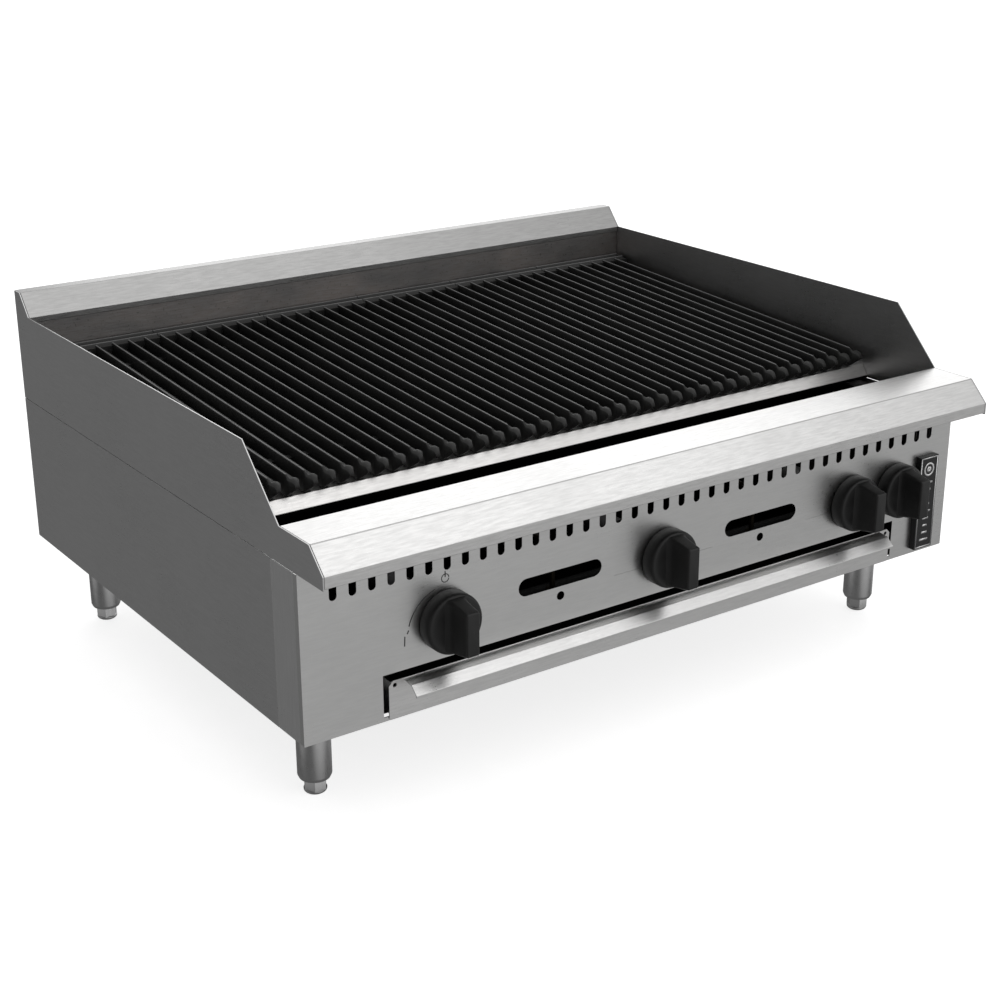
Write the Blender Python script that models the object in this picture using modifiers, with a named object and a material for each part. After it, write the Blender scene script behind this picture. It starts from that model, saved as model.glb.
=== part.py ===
"""A 36 inch countertop gas charbroiler with six sloped cast-iron grates.

Metres, +Z up, +X to the cook's right, +Y to the back. The floor under the feet is z = 0.
Depths below are measured back from the front nose of the shelf.
"""
import math

import bmesh
import bpy
from mathutils import Matrix, Vector

MM = 0.001

# ---------------------------------------------------------------- driving dimensions (mm)
WIDTH = 914.4
DEPTH = 745.0
INLET_REACH = 30.0
SHEET = 1.5
GAP = 0.3

LEG_HEIGHT = 104.0
SEAM_Z = 288.0
SHELF_Z = 327.3
SPLASH_Z = 396.0
CAP_Z = 424.5

NOSE_LOW = 290.0
NOSE_TOP = 302.5
BEVEL_Y = 24.8
SHELF_BACK_Y = 82.5
SPLASH_FRONT_Y = 150.0
PANEL_Y = 50.8
POST_BACK_Y = 102.0
WALL_Y = 704.5
CAP_TOP_Y = 727.0

KNOB_X = (-289.0, 0.0, 289.0, 364.0)
KNOB_Z = 198.0
KNOB_RADIUS = 33.0
KNOB_FACE = 19.0
GRIP_FACE = 49.5
WINDOW_X = 143.5
WINDOW_Z = 207.0
PILOT_HOLE_Z = 186.3
SLOT_COUNT = 39
SLOT_PITCH = 22.05
SLOT_LOW = 251.2
SLOT_HIGH = 284.0
SLOT_WIDTH = 8.6

TRAY_OPENING_X = 365.5
TRAY_OPENING_LOW = 108.5
TRAY_OPENING_HIGH = 155.3
TRAY_FLOOR_Z = 109.2
TRAY_RIM_Z = 147.5
TRAY_HALF = 360.0
TRAY_BACK_Y = 655.0
TRAY_WALL = 1.5
TRAY_FACE_LOW = 104.8
TRAY_CHAMFER = 5.0
LIP_HALF = 342.0
LIP_SHEET = 1.2
LIP_FOLD = (35.0, 145.0)
LIP_NOSE = (25.5, 136.2)

GRATE_COUNT = 6
GRATE_PITCH = 150.0
BARS_PER_GRATE = 7
BAR_PITCH = GRATE_PITCH / BARS_PER_GRATE
RIDGE_FRONT_Y = 202.7
RIDGE_FRONT_Z = 330.1
RIDGE_LENGTH = 474.3
GRATE_SLOPE = math.radians(3.35)
GRATE_DEEP = -24.6
RIB_WIDTH = 3.4
TROUGH_SPAN = (2.2, 13.0)
TIE_PLACES = (60.0, 420.0)
TIE_WIDTH = 9.0

FIREBOX_Y = 216.0
FIREBOX_HALF = 424.0
FIREBOX_BACK_Y = 674.0
FIREBOX_TOP_Z = 284.0
STRIP_LOW = (191.0, 292.0)
STRIP_HIGH = (200.0, 304.8)
STRIP_FLANGE = 32.0
LEDGE_Z = 332.6
INNER_WALL_LOW = 190.0
DRIP_GUIDE_X = 348.0
RADIANT_REST_Z = 260.8
RADIANT_HALF = 124.0
RADIANT_SHEET = 2.0

BURNER_Z = 222.0
BURNER_RADIUS = 15.0
BURNER_LEG_OFFSET = 57.5
BURNER_FRONT_Y = 256.0
BURNER_BACK_Y = 648.0
VENTURI_RADIUS = 14.0
VENTURI_MOUTH_Y = 128.0

PILOT_TUBE_Z = 241.0

MANIFOLD_Y = 84.0
MANIFOLD_Z = 176.0
MANIFOLD_X = (-318.0, 422.0)
PIPE_RADIUS = 10.5
SUPPLY_X = 440.0
SUPPLY_BEND = 14.0
STEM_RADIUS = 4.0
STEM_BORE_RADIUS = 4.4
VALVE_RADIUS = 10.0

LEG_X = 403.0
LEG_FRONT_Y = 132.5
LEG_BACK_Y = 673.0
LEG_RADIUS = 18.5
LEG_END_Z = 17.5
LEG_BORE_RADIUS = 8.0
STUD_RADIUS = 7.4
STUD_TOP_Z = 70.0
BASE_Z = 104.6
GUIDE_Z = 107.0
GUIDE_X = (369.0, 340.0)

BADGE_X = (400.5, 431.6)
BADGE_Z = (110.5, 231.0)
BADGE_DEPTH = 7.5

HALF = WIDTH / 2
INNER = HALF - SHEET - GAP
ORIGIN_Y = (DEPTH + INLET_REACH) / 2


def point(x, y, z):
    """A place in metres from millimetres, with y measured back from the nose."""
    return Vector((x * MM, (y - ORIGIN_Y) * MM, z * MM))


# ---------------------------------------------------------------- scene and materials
for old in list(bpy.data.objects):
    bpy.data.objects.remove(old, do_unlink=True)

PART = bpy.data.collections.new("charbroiler_grill")
CUTTERS = bpy.data.collections.new("cutters")
bpy.context.scene.collection.children.link(PART)
bpy.context.scene.collection.children.link(CUTTERS)


def finish(name, colour, roughness, metallic):
    material = bpy.data.materials.new(name)
    material.use_nodes = True
    shader = material.node_tree.nodes["Principled BSDF"]
    shader.inputs["Base Color"].default_value = (*colour, 1.0)
    shader.inputs["Roughness"].default_value = roughness
    shader.inputs["Metallic"].default_value = metallic
    return material


STAINLESS = finish("stainless", (0.62, 0.61, 0.60), 0.34, 1.0)
HOT_STEEL = finish("heat_dark_steel", (0.20, 0.19, 0.18), 0.45, 1.0)
CAST_IRON = finish("cast_iron", (0.020, 0.020, 0.021), 0.62, 0.4)
BLACK_PLASTIC = finish("knob_black", (0.012, 0.012, 0.012), 0.42, 0.0)
BRASS = finish("brass", (0.62, 0.47, 0.22), 0.35, 1.0)
PIPE_STEEL = finish("pipe_steel", (0.28, 0.28, 0.28), 0.50, 1.0)
LEG_STEEL = finish("leg_steel", (0.42, 0.42, 0.42), 0.38, 1.0)
BADGE_BLACK = finish("badge_black", (0.015, 0.015, 0.015), 0.30, 0.0)


# ---------------------------------------------------------------- modelling helpers
def add(name, mesh, collection=PART, material=None):
    obj = bpy.data.objects.new(name, mesh)
    collection.objects.link(obj)
    if material is not None:
        mesh.materials.clear()
        mesh.materials.append(material)
    return obj


def mesh_of(name, bm):
    mesh = bpy.data.meshes.new(name)
    bmesh.ops.recalc_face_normals(bm, faces=bm.faces[:])
    bm.to_mesh(mesh)
    bm.free()
    return mesh


def box_into(bm, low, high):
    """A box between two corners given in millimetres."""
    size = Vector([high[i] - low[i] for i in range(3)]) * MM
    centre = point(*[(low[i] + high[i]) / 2 for i in range(3)])
    matrix = Matrix.Translation(centre) @ Matrix.Diagonal((*size, 1.0))
    bmesh.ops.create_cube(bm, size=1.0, matrix=matrix)


AXIS_TURN = {
    "x": Matrix.Rotation(math.radians(90), 4, "Y"),
    "y": Matrix.Rotation(math.radians(-90), 4, "X"),
    "z": Matrix.Identity(4),
}


def rod_into(bm, start, end, radius, end_radius=None, segments=16, spin=0.0):
    """A cylinder or cone along one axis between two places in millimetres."""
    a, b = point(*start), point(*end)
    axis = "xyz"[max(range(3), key=lambda i: abs(b[i] - a[i]))]
    flip = Matrix.Identity(4)
    if (b - a)["xyz".index(axis)] < 0:
        flip = Matrix.Rotation(math.radians(180), 4, "X" if axis != "x" else "Y")
    matrix = Matrix.Translation((a + b) / 2) @ flip @ AXIS_TURN[axis] @ Matrix.Rotation(spin, 4, "Z")
    tip = radius if end_radius is None else end_radius
    bmesh.ops.create_cone(
        bm, cap_ends=True, segments=segments, radius1=radius * MM, radius2=tip * MM,
        depth=(b - a).length, matrix=matrix)


def solid(name, material, build, collection=PART):
    """One object from a function that fills a bmesh."""
    bm = bmesh.new()
    build(bm)
    return add(name, mesh_of(name, bm), collection, material)


def as_cutter(obj):
    """Keep an object only as a Boolean's other half."""
    for collection in list(obj.users_collection):
        collection.objects.unlink(obj)
    CUTTERS.objects.link(obj)
    obj.hide_render = True
    obj.display_type = "WIRE"
    return obj


def cutter(name, build):
    return as_cutter(solid(name, None, build, CUTTERS))


def place_at_axis(obj, origin):
    """Move an object's origin to a place without moving its mesh in the world."""
    obj.data.transform(Matrix.Translation(-origin))
    obj.location = origin


def combine(obj, other, operation, solver="EXACT"):
    modifier = obj.modifiers.new(operation.lower(), "BOOLEAN")
    modifier.operation = operation
    modifier.solver = solver
    modifier.object = other
    return obj


def bake(obj):
    """Replace an object's mesh with its evaluated one."""
    depsgraph = bpy.context.evaluated_depsgraph_get()
    mesh = bpy.data.meshes.new_from_object(obj.evaluated_get(depsgraph))
    obj.modifiers.clear()
    obj.data = mesh
    return obj


def as_mesh(curve, weld=0.00001):
    """A curve turned into a mesh with its caps welded on."""
    depsgraph = bpy.context.evaluated_depsgraph_get()
    mesh = bpy.data.meshes.new_from_object(curve.evaluated_get(depsgraph))
    mesh.transform(curve.matrix_world)
    name = curve.name
    collection = curve.users_collection[0]
    bpy.data.objects.remove(curve, do_unlink=True)
    bm = bmesh.new()
    bm.from_mesh(mesh)
    bmesh.ops.remove_doubles(bm, verts=bm.verts[:], dist=weld)
    bmesh.ops.recalc_face_normals(bm, faces=bm.faces[:])
    bm.to_mesh(mesh)
    bm.free()
    obj = bpy.data.objects.new(name, mesh)
    collection.objects.link(obj)
    return obj


FACING = {
    "side": (math.radians(90), 0.0, math.radians(90)),
    "front": (math.radians(90), 0.0, 0.0),
}


def plate(name, material, outlines, thickness, facing, centre, collection=PART):
    """A flat sheet from closed outlines (the first is the rim, the rest are holes)."""
    data = bpy.data.curves.new(name, "CURVE")
    data.dimensions = "2D"
    data.fill_mode = "BOTH"
    data.extrude = thickness * MM / 2
    data.materials.append(material)
    for outline in outlines:
        spline = data.splines.new("POLY")
        spline.points.add(len(outline) - 1)
        for place, (u, v) in zip(spline.points, outline):
            place.co = (u * MM, v * MM, 0.0, 1.0)
        spline.use_cyclic_u = True
    curve = bpy.data.objects.new(name, data)
    collection.objects.link(curve)
    curve.rotation_euler = FACING[facing]
    curve.location = centre
    bpy.context.view_layer.update()
    return as_mesh(curve)


def side_plate(name, material, outlines, x):
    """A plate that faces sideways; outlines are (depth, height), x is its middle."""
    return plate(name, material, outlines, SHEET, "side", point(x, 0, 0))


def front_plate(name, material, outlines, y):
    """A plate that faces the front; outlines are (x, height), y is its middle."""
    return plate(name, material, outlines, SHEET, "front", point(0, y, 0))


def bent_sheet(name, material, path, start, end, along="x", thickness=SHEET, inside=False):
    """A folded sheet: a path of its outer skin, drawn out along x or y, then thickened."""
    bm = bmesh.new()
    if along == "x":
        rows = [[bm.verts.new(point(x, y, z)) for y, z in path] for x in (start, end)]
    else:
        rows = [[bm.verts.new(point(x, y, z)) for x, z in path] for y in (start, end)]
    for i in range(len(path) - 1):
        bm.faces.new((rows[0][i], rows[0][i + 1], rows[1][i + 1], rows[1][i]))
    mesh = bpy.data.meshes.new(name)
    bm.to_mesh(mesh)
    bm.free()
    obj = add(name, mesh, PART, material)
    modifier = obj.modifiers.new("thickness", "SOLIDIFY")
    modifier.thickness = thickness * MM
    modifier.offset = 1.0 if inside else -1.0
    modifier.use_even_offset = True
    return bake(obj)


def arc(centre, radius, start, end, steps):
    """Places along an arc, angles in degrees."""
    turns = [math.radians(start + (end - start) * i / steps) for i in range(steps + 1)]
    return [(centre[0] + radius * math.cos(t), centre[1] + radius * math.sin(t)) for t in turns]


def tall_slot(x, low, high, width):
    r = width / 2
    return arc((x, high - r), r, 0, 180, 4) + arc((x, low + r), r, 180, 360, 8)


def long_slot(x, z, length, height, steps=8):
    r = height / 2
    reach = length / 2 - r
    return arc((x + reach, z), r, -90, 90, steps) + arc((x - reach, z), r, 90, 270, steps)


def circle(x, z, radius, steps=16):
    return arc((x, z), radius, 0, 360 - 360 / steps, steps - 1)


def rectangle(x0, z0, x1, z1):
    return [(x0, z0), (x1, z0), (x1, z1), (x0, z1)]


def tube_curve(name, material, places, radius, resolution=2):
    data = bpy.data.curves.new(name, "CURVE")
    data.dimensions = "3D"
    data.bevel_depth = radius * MM
    data.bevel_resolution = resolution
    data.use_fill_caps = True
    data.materials.append(material)
    spline = data.splines.new("POLY")
    spline.points.add(len(places) - 1)
    for place, target in zip(spline.points, places):
        place.co = (*point(*target), 1.0)
    curve = bpy.data.objects.new(name, data)
    PART.objects.link(curve)
    bpy.context.view_layer.update()
    return as_mesh(curve)


def corner(centre, radius, start, end, z, steps=4):
    """Places of a bend in a level pipe run."""
    return [(x, y, z) for x, y in arc(centre, radius, start, end, steps)]


# ---------------------------------------------------------------- casing
def side_outline():
    back = DEPTH - SHEET - GAP
    return [
        (0.0, SEAM_Z + GAP), (back, SEAM_Z + GAP), (back, CAP_Z), (CAP_TOP_Y, CAP_Z),
        (WALL_Y, SPLASH_Z + 2.0), (SPLASH_FRONT_Y, SPLASH_Z), (SHELF_BACK_Y, SHELF_Z),
        (BEVEL_Y, SHELF_Z), (0.0, NOSE_TOP)]


def make_sides():
    back = DEPTH - SHEET - GAP
    for side, sign in (("left", -1), ("right", 1)):
        x = sign * (HALF - SHEET / 2)
        side_plate("side_panel_" + side, STAINLESS, [side_outline()], x)
        lower = rectangle(POST_BACK_Y + GAP, LEG_HEIGHT, back, SEAM_Z - GAP)
        side_plate("lower_side_" + side, STAINLESS, [lower], x)
        post = rectangle(PANEL_Y + 8.0, LEG_HEIGHT, POST_BACK_Y, SEAM_Z - GAP)
        side_plate("corner_post_" + side, STAINLESS, [post], x)


def make_front_panel():
    outlines = [rectangle(-HALF, LEG_HEIGHT, HALF, SEAM_Z - GAP)]
    first = -SLOT_PITCH * (SLOT_COUNT - 1) / 2
    for i in range(SLOT_COUNT):
        outlines.append(tall_slot(first + i * SLOT_PITCH, SLOT_LOW, SLOT_HIGH, SLOT_WIDTH))
    for sign in (-1, 1):
        outlines.append(long_slot(sign * WINDOW_X, WINDOW_Z, 110.0, 20.0))
        outlines.append(circle(sign * WINDOW_X, PILOT_HOLE_Z, 5.0))
    for x in KNOB_X:
        outlines.append(circle(x, KNOB_Z, 7.0))
    outlines.append(rectangle(
        -TRAY_OPENING_X, TRAY_OPENING_LOW, TRAY_OPENING_X, TRAY_OPENING_HIGH))
    panel = front_plate("front_panel", STAINLESS, outlines, PANEL_Y + SHEET / 2)

    def returns(bm):
        for sign in (-1, 1):
            x0, x1 = sorted((sign * (HALF - 0.05), sign * (HALF - SHEET)))
            box_into(bm, (x0, PANEL_Y + 0.6, LEG_HEIGHT + 0.4),
                     (x1, PANEL_Y + 7.7, SEAM_Z - GAP - 0.4))

    combine(panel, cutter("front_panel_returns", returns), "UNION", solver="MANIFOLD")


def make_shelf():
    path = [
        (30.0, NOSE_LOW), (0.0, NOSE_LOW), (0.0, NOSE_TOP), (BEVEL_Y, SHELF_Z),
        (SHELF_BACK_Y, SHELF_Z), (SHELF_BACK_Y, SHELF_Z - 14.0)]
    bent_sheet("front_shelf", STAINLESS, path, -INNER, INNER, inside=True)


def make_rear():
    back = DEPTH - SHEET - GAP
    front_plate(
        "back_panel", STAINLESS,
        [rectangle(-INNER, LEG_HEIGHT, INNER, CAP_Z - SHEET - GAP),
         circle(SUPPLY_X, MANIFOLD_Z, PIPE_RADIUS + 0.6)],
        back - SHEET / 2)
    cap = [
        (WALL_Y, SPLASH_Z - 5.0), (WALL_Y, SPLASH_Z + 2.0), (CAP_TOP_Y, CAP_Z), (DEPTH, CAP_Z),
        (DEPTH, CAP_Z - 18.0)]
    bent_sheet("backsplash_cap", STAINLESS, cap, -INNER, INNER, inside=True)
    wall_y = WALL_Y + SHEET + GAP
    wall = [(wall_y, SPLASH_Z - 2.0), (wall_y, LEDGE_Z), (FIREBOX_BACK_Y, LEDGE_Z),
            (FIREBOX_BACK_Y, INNER_WALL_LOW)]
    bent_sheet("inner_back_wall", HOT_STEEL, wall, -INNER, INNER)


def make_badge():
    def build(bm):
        box_into(bm, (BADGE_X[0], PANEL_Y - BADGE_DEPTH, BADGE_Z[0]),
                 (BADGE_X[1], PANEL_Y - GAP, BADGE_Z[1]))
    solid("badge_plate", BADGE_BLACK, build)


# ---------------------------------------------------------------- base, legs and feet
def make_base():
    back = DEPTH - 2 * SHEET - 2 * GAP
    for side, sign in (("left", -1), ("right", 1)):
        path = [(sign * INNER, BASE_Z), (sign * GUIDE_X[0], BASE_Z),
                (sign * GUIDE_X[0], GUIDE_Z), (sign * GUIDE_X[1], GUIDE_Z)]
        bent_sheet("base_rail_" + side, STAINLESS, path, PANEL_Y + 10.0, back, along="y",
                   inside=sign < 0)


def make_legs():
    places = {
        "front_left": (-LEG_X, LEG_FRONT_Y), "front_right": (LEG_X, LEG_FRONT_Y),
        "rear_left": (-LEG_X, LEG_BACK_Y), "rear_right": (LEG_X, LEG_BACK_Y)}
    top = BASE_Z - SHEET - GAP
    for name, (x, y) in places.items():
        def leg(bm):
            rod_into(bm, (x, y, LEG_END_Z + 2.0), (x, y, top), LEG_RADIUS, segments=20)

        def skirt(bm):
            rod_into(bm, (x, y, LEG_END_Z), (x, y, LEG_END_Z + 4.0), LEG_RADIUS - 2.0,
                     LEG_RADIUS, segments=20)

        def bore(bm):
            rod_into(bm, (x, y, LEG_END_Z - 5.0), (x, y, STUD_TOP_Z + 8.0), LEG_BORE_RADIUS,
                     segments=12)

        tube = solid("leg_" + name, LEG_STEEL, leg)
        combine(tube, cutter("skirt_" + name, skirt), "UNION")
        combine(tube, cutter("bore_" + name, bore), "DIFFERENCE")

        def hexagon(bm):
            rod_into(bm, (x, y, 3.0), (x, y, LEG_END_Z - GAP), 13.1, segments=6)

        def pad(bm):
            rod_into(bm, (x, y, 0.0), (x, y, 5.0), 10.0, 12.5, segments=18)

        def stud(bm):
            rod_into(bm, (x, y, 10.0), (x, y, STUD_TOP_Z), STUD_RADIUS, segments=12)

        foot = solid("foot_" + name, LEG_STEEL, hexagon)
        combine(foot, cutter("pad_" + name, pad), "UNION")
        combine(foot, cutter("stud_" + name, stud), "UNION")


# ---------------------------------------------------------------- fire box
def make_firebox():
    low_y, low_z = STRIP_LOW
    high_y, high_z = STRIP_HIGH
    wall_y = FIREBOX_Y + 2.0
    wall = bent_sheet("firebox_front", STAINLESS, [(wall_y, 184.0), (wall_y, low_z - 3.2)],
                      -FIREBOX_HALF + 2.0, FIREBOX_HALF - 2.0)
    strip_path = [(wall_y + 1.0, low_z - 4.0), (low_y, low_z - 4.0), (low_y, low_z),
                  (high_y, high_z), (high_y + STRIP_FLANGE, high_z + 1.8)]
    strip = bent_sheet("strip_sheet", STAINLESS, strip_path, -INNER, INNER, inside=True)
    combine(wall, as_cutter(strip), "UNION")

    def holes(bm):
        for x in KNOB_X[:3]:
            rod_into(bm, (x, wall_y - 12.0, KNOB_Z), (x, wall_y + 12.0, KNOB_Z),
                     VENTURI_RADIUS + 0.8, segments=20)
        for sign in (-1, 1):
            rod_into(bm, (sign * WINDOW_X, wall_y - 12.0, PILOT_TUBE_Z),
                     (sign * WINDOW_X, wall_y + 12.0, PILOT_TUBE_Z), 5.0, segments=12)
    combine(wall, cutter("firebox_front_holes", holes), "DIFFERENCE")

    for side, sign in (("left", -1), ("right", 1)):
        path = [(sign * INNER, FIREBOX_TOP_Z), (sign * FIREBOX_HALF, FIREBOX_TOP_Z),
                (sign * FIREBOX_HALF, 182.0), (sign * DRIP_GUIDE_X, 156.5)]
        bent_sheet("firebox_side_" + side, HOT_STEEL, path, 112.0, FIREBOX_BACK_Y - 3.0,
                   along="y", inside=sign > 0)


def make_rails():
    reach = FIREBOX_HALF - 2.5
    front = FIREBOX_Y + 3.0
    back = FIREBOX_BACK_Y - 3.0
    rest = RADIANT_REST_Z
    bent_sheet("radiant_rail_front", HOT_STEEL, [(front, rest - 14.0), (front, rest),
               (front + 22.0, rest)], -reach, reach, inside=True)
    bent_sheet("radiant_rail_rear", HOT_STEEL, [(back, rest - 14.0), (back, rest),
               (back - 22.0, rest)], -reach, reach)
    under = BURNER_Z - BURNER_RADIUS - GAP
    bent_sheet("burner_rail", HOT_STEEL, [(630.0, under), (646.0, under), (646.0, under - 16.0)],
               -reach, reach, inside=True)


def make_radiants():
    for i, x in enumerate(KNOB_X[:3], start=1):
        path = [(x - RADIANT_HALF, 263.5), (x - BURNER_LEG_OFFSET, 297.0), (x, 270.0),
                (x + BURNER_LEG_OFFSET, 297.0), (x + RADIANT_HALF, 263.5)]
        bent_sheet("radiant_%d" % i, HOT_STEEL, path, FIREBOX_Y + 14.0, FIREBOX_BACK_Y - 14.0,
                   along="y", thickness=RADIANT_SHEET)


# ---------------------------------------------------------------- burners and gas train
def make_burners():
    bend = 30.0
    for i, x in enumerate(KNOB_X[:3], start=1):
        left, right = x - BURNER_LEG_OFFSET, x + BURNER_LEG_OFFSET
        places = [(left, BURNER_BACK_Y, BURNER_Z)]
        places += corner((left + bend, BURNER_FRONT_Y + bend), bend, 180, 270, BURNER_Z)
        places += corner((right - bend, BURNER_FRONT_Y + bend), bend, 270, 360, BURNER_Z)
        places += [(right, BURNER_BACK_Y, BURNER_Z)]
        burner = tube_curve("burner_%d" % i, CAST_IRON, places, BURNER_RADIUS)

        def venturi(bm):
            rod_into(bm, (x, VENTURI_MOUTH_Y, KNOB_Z), (x, BURNER_FRONT_Y + 6.0, KNOB_Z),
                     VENTURI_RADIUS, segments=20)

        def throat(bm):
            rod_into(bm, (x, VENTURI_MOUTH_Y - 4.0, KNOB_Z), (x, BURNER_FRONT_Y - 20.0, KNOB_Z),
                     VENTURI_RADIUS - 3.0, segments=20)

        combine(burner, cutter("venturi_%d" % i, venturi), "UNION")
        combine(burner, cutter("throat_%d" % i, throat), "DIFFERENCE")

        def collar(bm):
            rod_into(bm, (x, VENTURI_MOUTH_Y + 4.0, KNOB_Z), (x, VENTURI_MOUTH_Y + 28.0, KNOB_Z),
                     VENTURI_RADIUS + 2.2, segments=20)

        def collar_bore(bm):
            rod_into(bm, (x, VENTURI_MOUTH_Y, KNOB_Z), (x, VENTURI_MOUTH_Y + 32.0, KNOB_Z),
                     VENTURI_RADIUS + 0.5, segments=20)

        def air_slots(bm):
            box_into(bm, (x - 30.0, VENTURI_MOUTH_Y + 10.0, KNOB_Z - 6.0),
                     (x + 30.0, VENTURI_MOUTH_Y + 22.0, KNOB_Z + 6.0))

        shutter = solid("air_shutter_%d" % i, PIPE_STEEL, collar)
        combine(shutter, cutter("shutter_bore_%d" % i, collar_bore), "DIFFERENCE")
        combine(shutter, cutter("shutter_slots_%d" % i, air_slots), "DIFFERENCE")
        place_at_axis(bake(shutter), point(x, VENTURI_MOUTH_Y, KNOB_Z))


def make_gas_train():
    def manifold(bm):
        rod_into(bm, (MANIFOLD_X[0], MANIFOLD_Y, MANIFOLD_Z),
                 (MANIFOLD_X[1], MANIFOLD_Y, MANIFOLD_Z), PIPE_RADIUS, segments=20)
    solid("gas_manifold", PIPE_STEEL, manifold)

    places = [(MANIFOLD_X[1] + GAP, MANIFOLD_Y, MANIFOLD_Z)]
    places += corner((SUPPLY_X - SUPPLY_BEND, MANIFOLD_Y + SUPPLY_BEND), SUPPLY_BEND, -90, 0,
                     MANIFOLD_Z, steps=5)
    places += [(SUPPLY_X, DEPTH + INLET_REACH, MANIFOLD_Z)]
    tube_curve("supply_pipe", PIPE_STEEL, places, PIPE_RADIUS)

    for i, x in enumerate(KNOB_X, start=1):
        def body(bm):
            rod_into(bm, (x, 60.0, KNOB_Z), (x, 104.0, KNOB_Z), VALVE_RADIUS, segments=16)

        def collar(bm):
            rod_into(bm, (x, 56.0, KNOB_Z), (x, 64.0, KNOB_Z), 12.0, segments=6)

        def saddle(bm):
            rod_into(bm, (x, MANIFOLD_Y, MANIFOLD_Z + PIPE_RADIUS + GAP),
                     (x, MANIFOLD_Y, KNOB_Z), 7.5, segments=12)

        def orifice(bm):
            rod_into(bm, (x, 100.0, KNOB_Z), (x, 118.0, KNOB_Z), 6.0, 4.0, segments=6)

        def bore(bm):
            rod_into(bm, (x, 50.0, KNOB_Z), (x, 80.0, KNOB_Z), STEM_BORE_RADIUS, segments=12)

        def stem(bm):
            rod_into(bm, (x, 30.0, KNOB_Z), (x, 78.0, KNOB_Z), STEM_RADIUS, segments=12)

        valve = solid("gas_valve_%d" % i, BRASS, body)
        combine(valve, cutter("valve_collar_%d" % i, collar), "UNION")
        combine(valve, cutter("valve_saddle_%d" % i, saddle), "UNION")
        if i < len(KNOB_X):
            combine(valve, cutter("valve_orifice_%d" % i, orifice), "UNION")
        combine(valve, cutter("valve_bore_%d" % i, bore), "DIFFERENCE")
        place_at_axis(solid("valve_stem_%d" % i, BRASS, stem), point(x, PANEL_Y, KNOB_Z))


def make_pilots():
    for side, sign in (("left", -1), ("right", 1)):
        x = sign * WINDOW_X
        places = [(x, 66.0, PILOT_HOLE_Z), (x, 66.0, 216.0), (x, 72.0, 230.0),
                  (x, 86.0, PILOT_TUBE_Z), (x, 244.0, PILOT_TUBE_Z)]
        tube = tube_curve("pilot_" + side, BRASS, places, 3.0)

        def screw_body(bm):
            rod_into(bm, (x, 58.0, PILOT_HOLE_Z), (x, 72.0, PILOT_HOLE_Z), 4.8, segments=12)

        def head(bm):
            rod_into(bm, (x, 232.0, PILOT_TUBE_Z), (x, 256.0, PILOT_TUBE_Z), 6.0, segments=12)

        combine(tube, cutter("pilot_screw_" + side, screw_body), "UNION")
        combine(tube, cutter("pilot_head_" + side, head), "UNION")


# ---------------------------------------------------------------- knobs
def knob_mesh():
    """A round knob with an upright tapered grip; its axis is local Z, pointing at the cook."""
    profile = [(0.0, KNOB_FACE), (KNOB_RADIUS - 2.4, KNOB_FACE),
               (KNOB_RADIUS - 0.6, KNOB_FACE - 1.6), (KNOB_RADIUS, KNOB_FACE - 4.0),
               (KNOB_RADIUS, 1.2), (0.0, 1.2)]
    mesh = bpy.data.meshes.new("knob_profile")
    bm = bmesh.new()
    rim = [bm.verts.new((r * MM, 0.0, h * MM)) for r, h in profile]
    for a, b in zip(rim, rim[1:]):
        bm.edges.new((a, b))
    bm.to_mesh(mesh)
    bm.free()
    knob = add("knob_form", mesh, CUTTERS)
    screw = knob.modifiers.new("turn", "SCREW")
    screw.steps = 32
    screw.render_steps = 32
    screw.use_merge_vertices = True
    screw.merge_threshold = 0.00001
    screw.use_normal_calculate = True

    def grip(bm):
        bmesh.ops.create_cube(bm, size=1.0)
        for vert in bm.verts:
            outer = vert.co.z > 0
            vert.co.x *= (15.5 if outer else 22.0) * MM
            vert.co.y *= (47.0 if outer else 58.0) * MM
            vert.co.z = (GRIP_FACE if outer else KNOB_FACE - 0.8) * MM

    def bore(bm):
        radius = STEM_BORE_RADIUS * MM
        bmesh.ops.create_cone(bm, cap_ends=True, segments=12, radius1=radius, radius2=radius,
                              depth=40.0 * MM, matrix=Matrix.Translation((0.0, 0.0, 1.5 * MM)))

    combine(knob, cutter("knob_grip", grip), "UNION")
    combine(knob, cutter("knob_bore", bore), "DIFFERENCE")
    mesh = bake(knob).data
    bpy.data.objects.remove(knob, do_unlink=True)
    return mesh


def make_knobs():
    mesh = knob_mesh()
    for i, x in enumerate(KNOB_X, start=1):
        knob = add("knob_%d" % i, mesh, PART, BLACK_PLASTIC)
        knob.rotation_euler = FACING["front"]
        knob.location = point(x, PANEL_Y, KNOB_Z)


# ---------------------------------------------------------------- grates
def local_prism(bm, outline, x0, x1):
    """A block from an outline of (y, z) drawn out along x, in a part's own millimetres."""
    ends = []
    for x in (x0, x1):
        ring = [bm.verts.new((x * MM, y * MM, z * MM)) for y, z in outline]
        ends.append(ring)
    bm.faces.new(ends[0])
    bm.faces.new(list(reversed(ends[1])))
    for i in range(len(outline)):
        j = (i + 1) % len(outline)
        bm.faces.new((ends[0][j], ends[0][i], ends[1][i], ends[1][j]))


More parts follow.
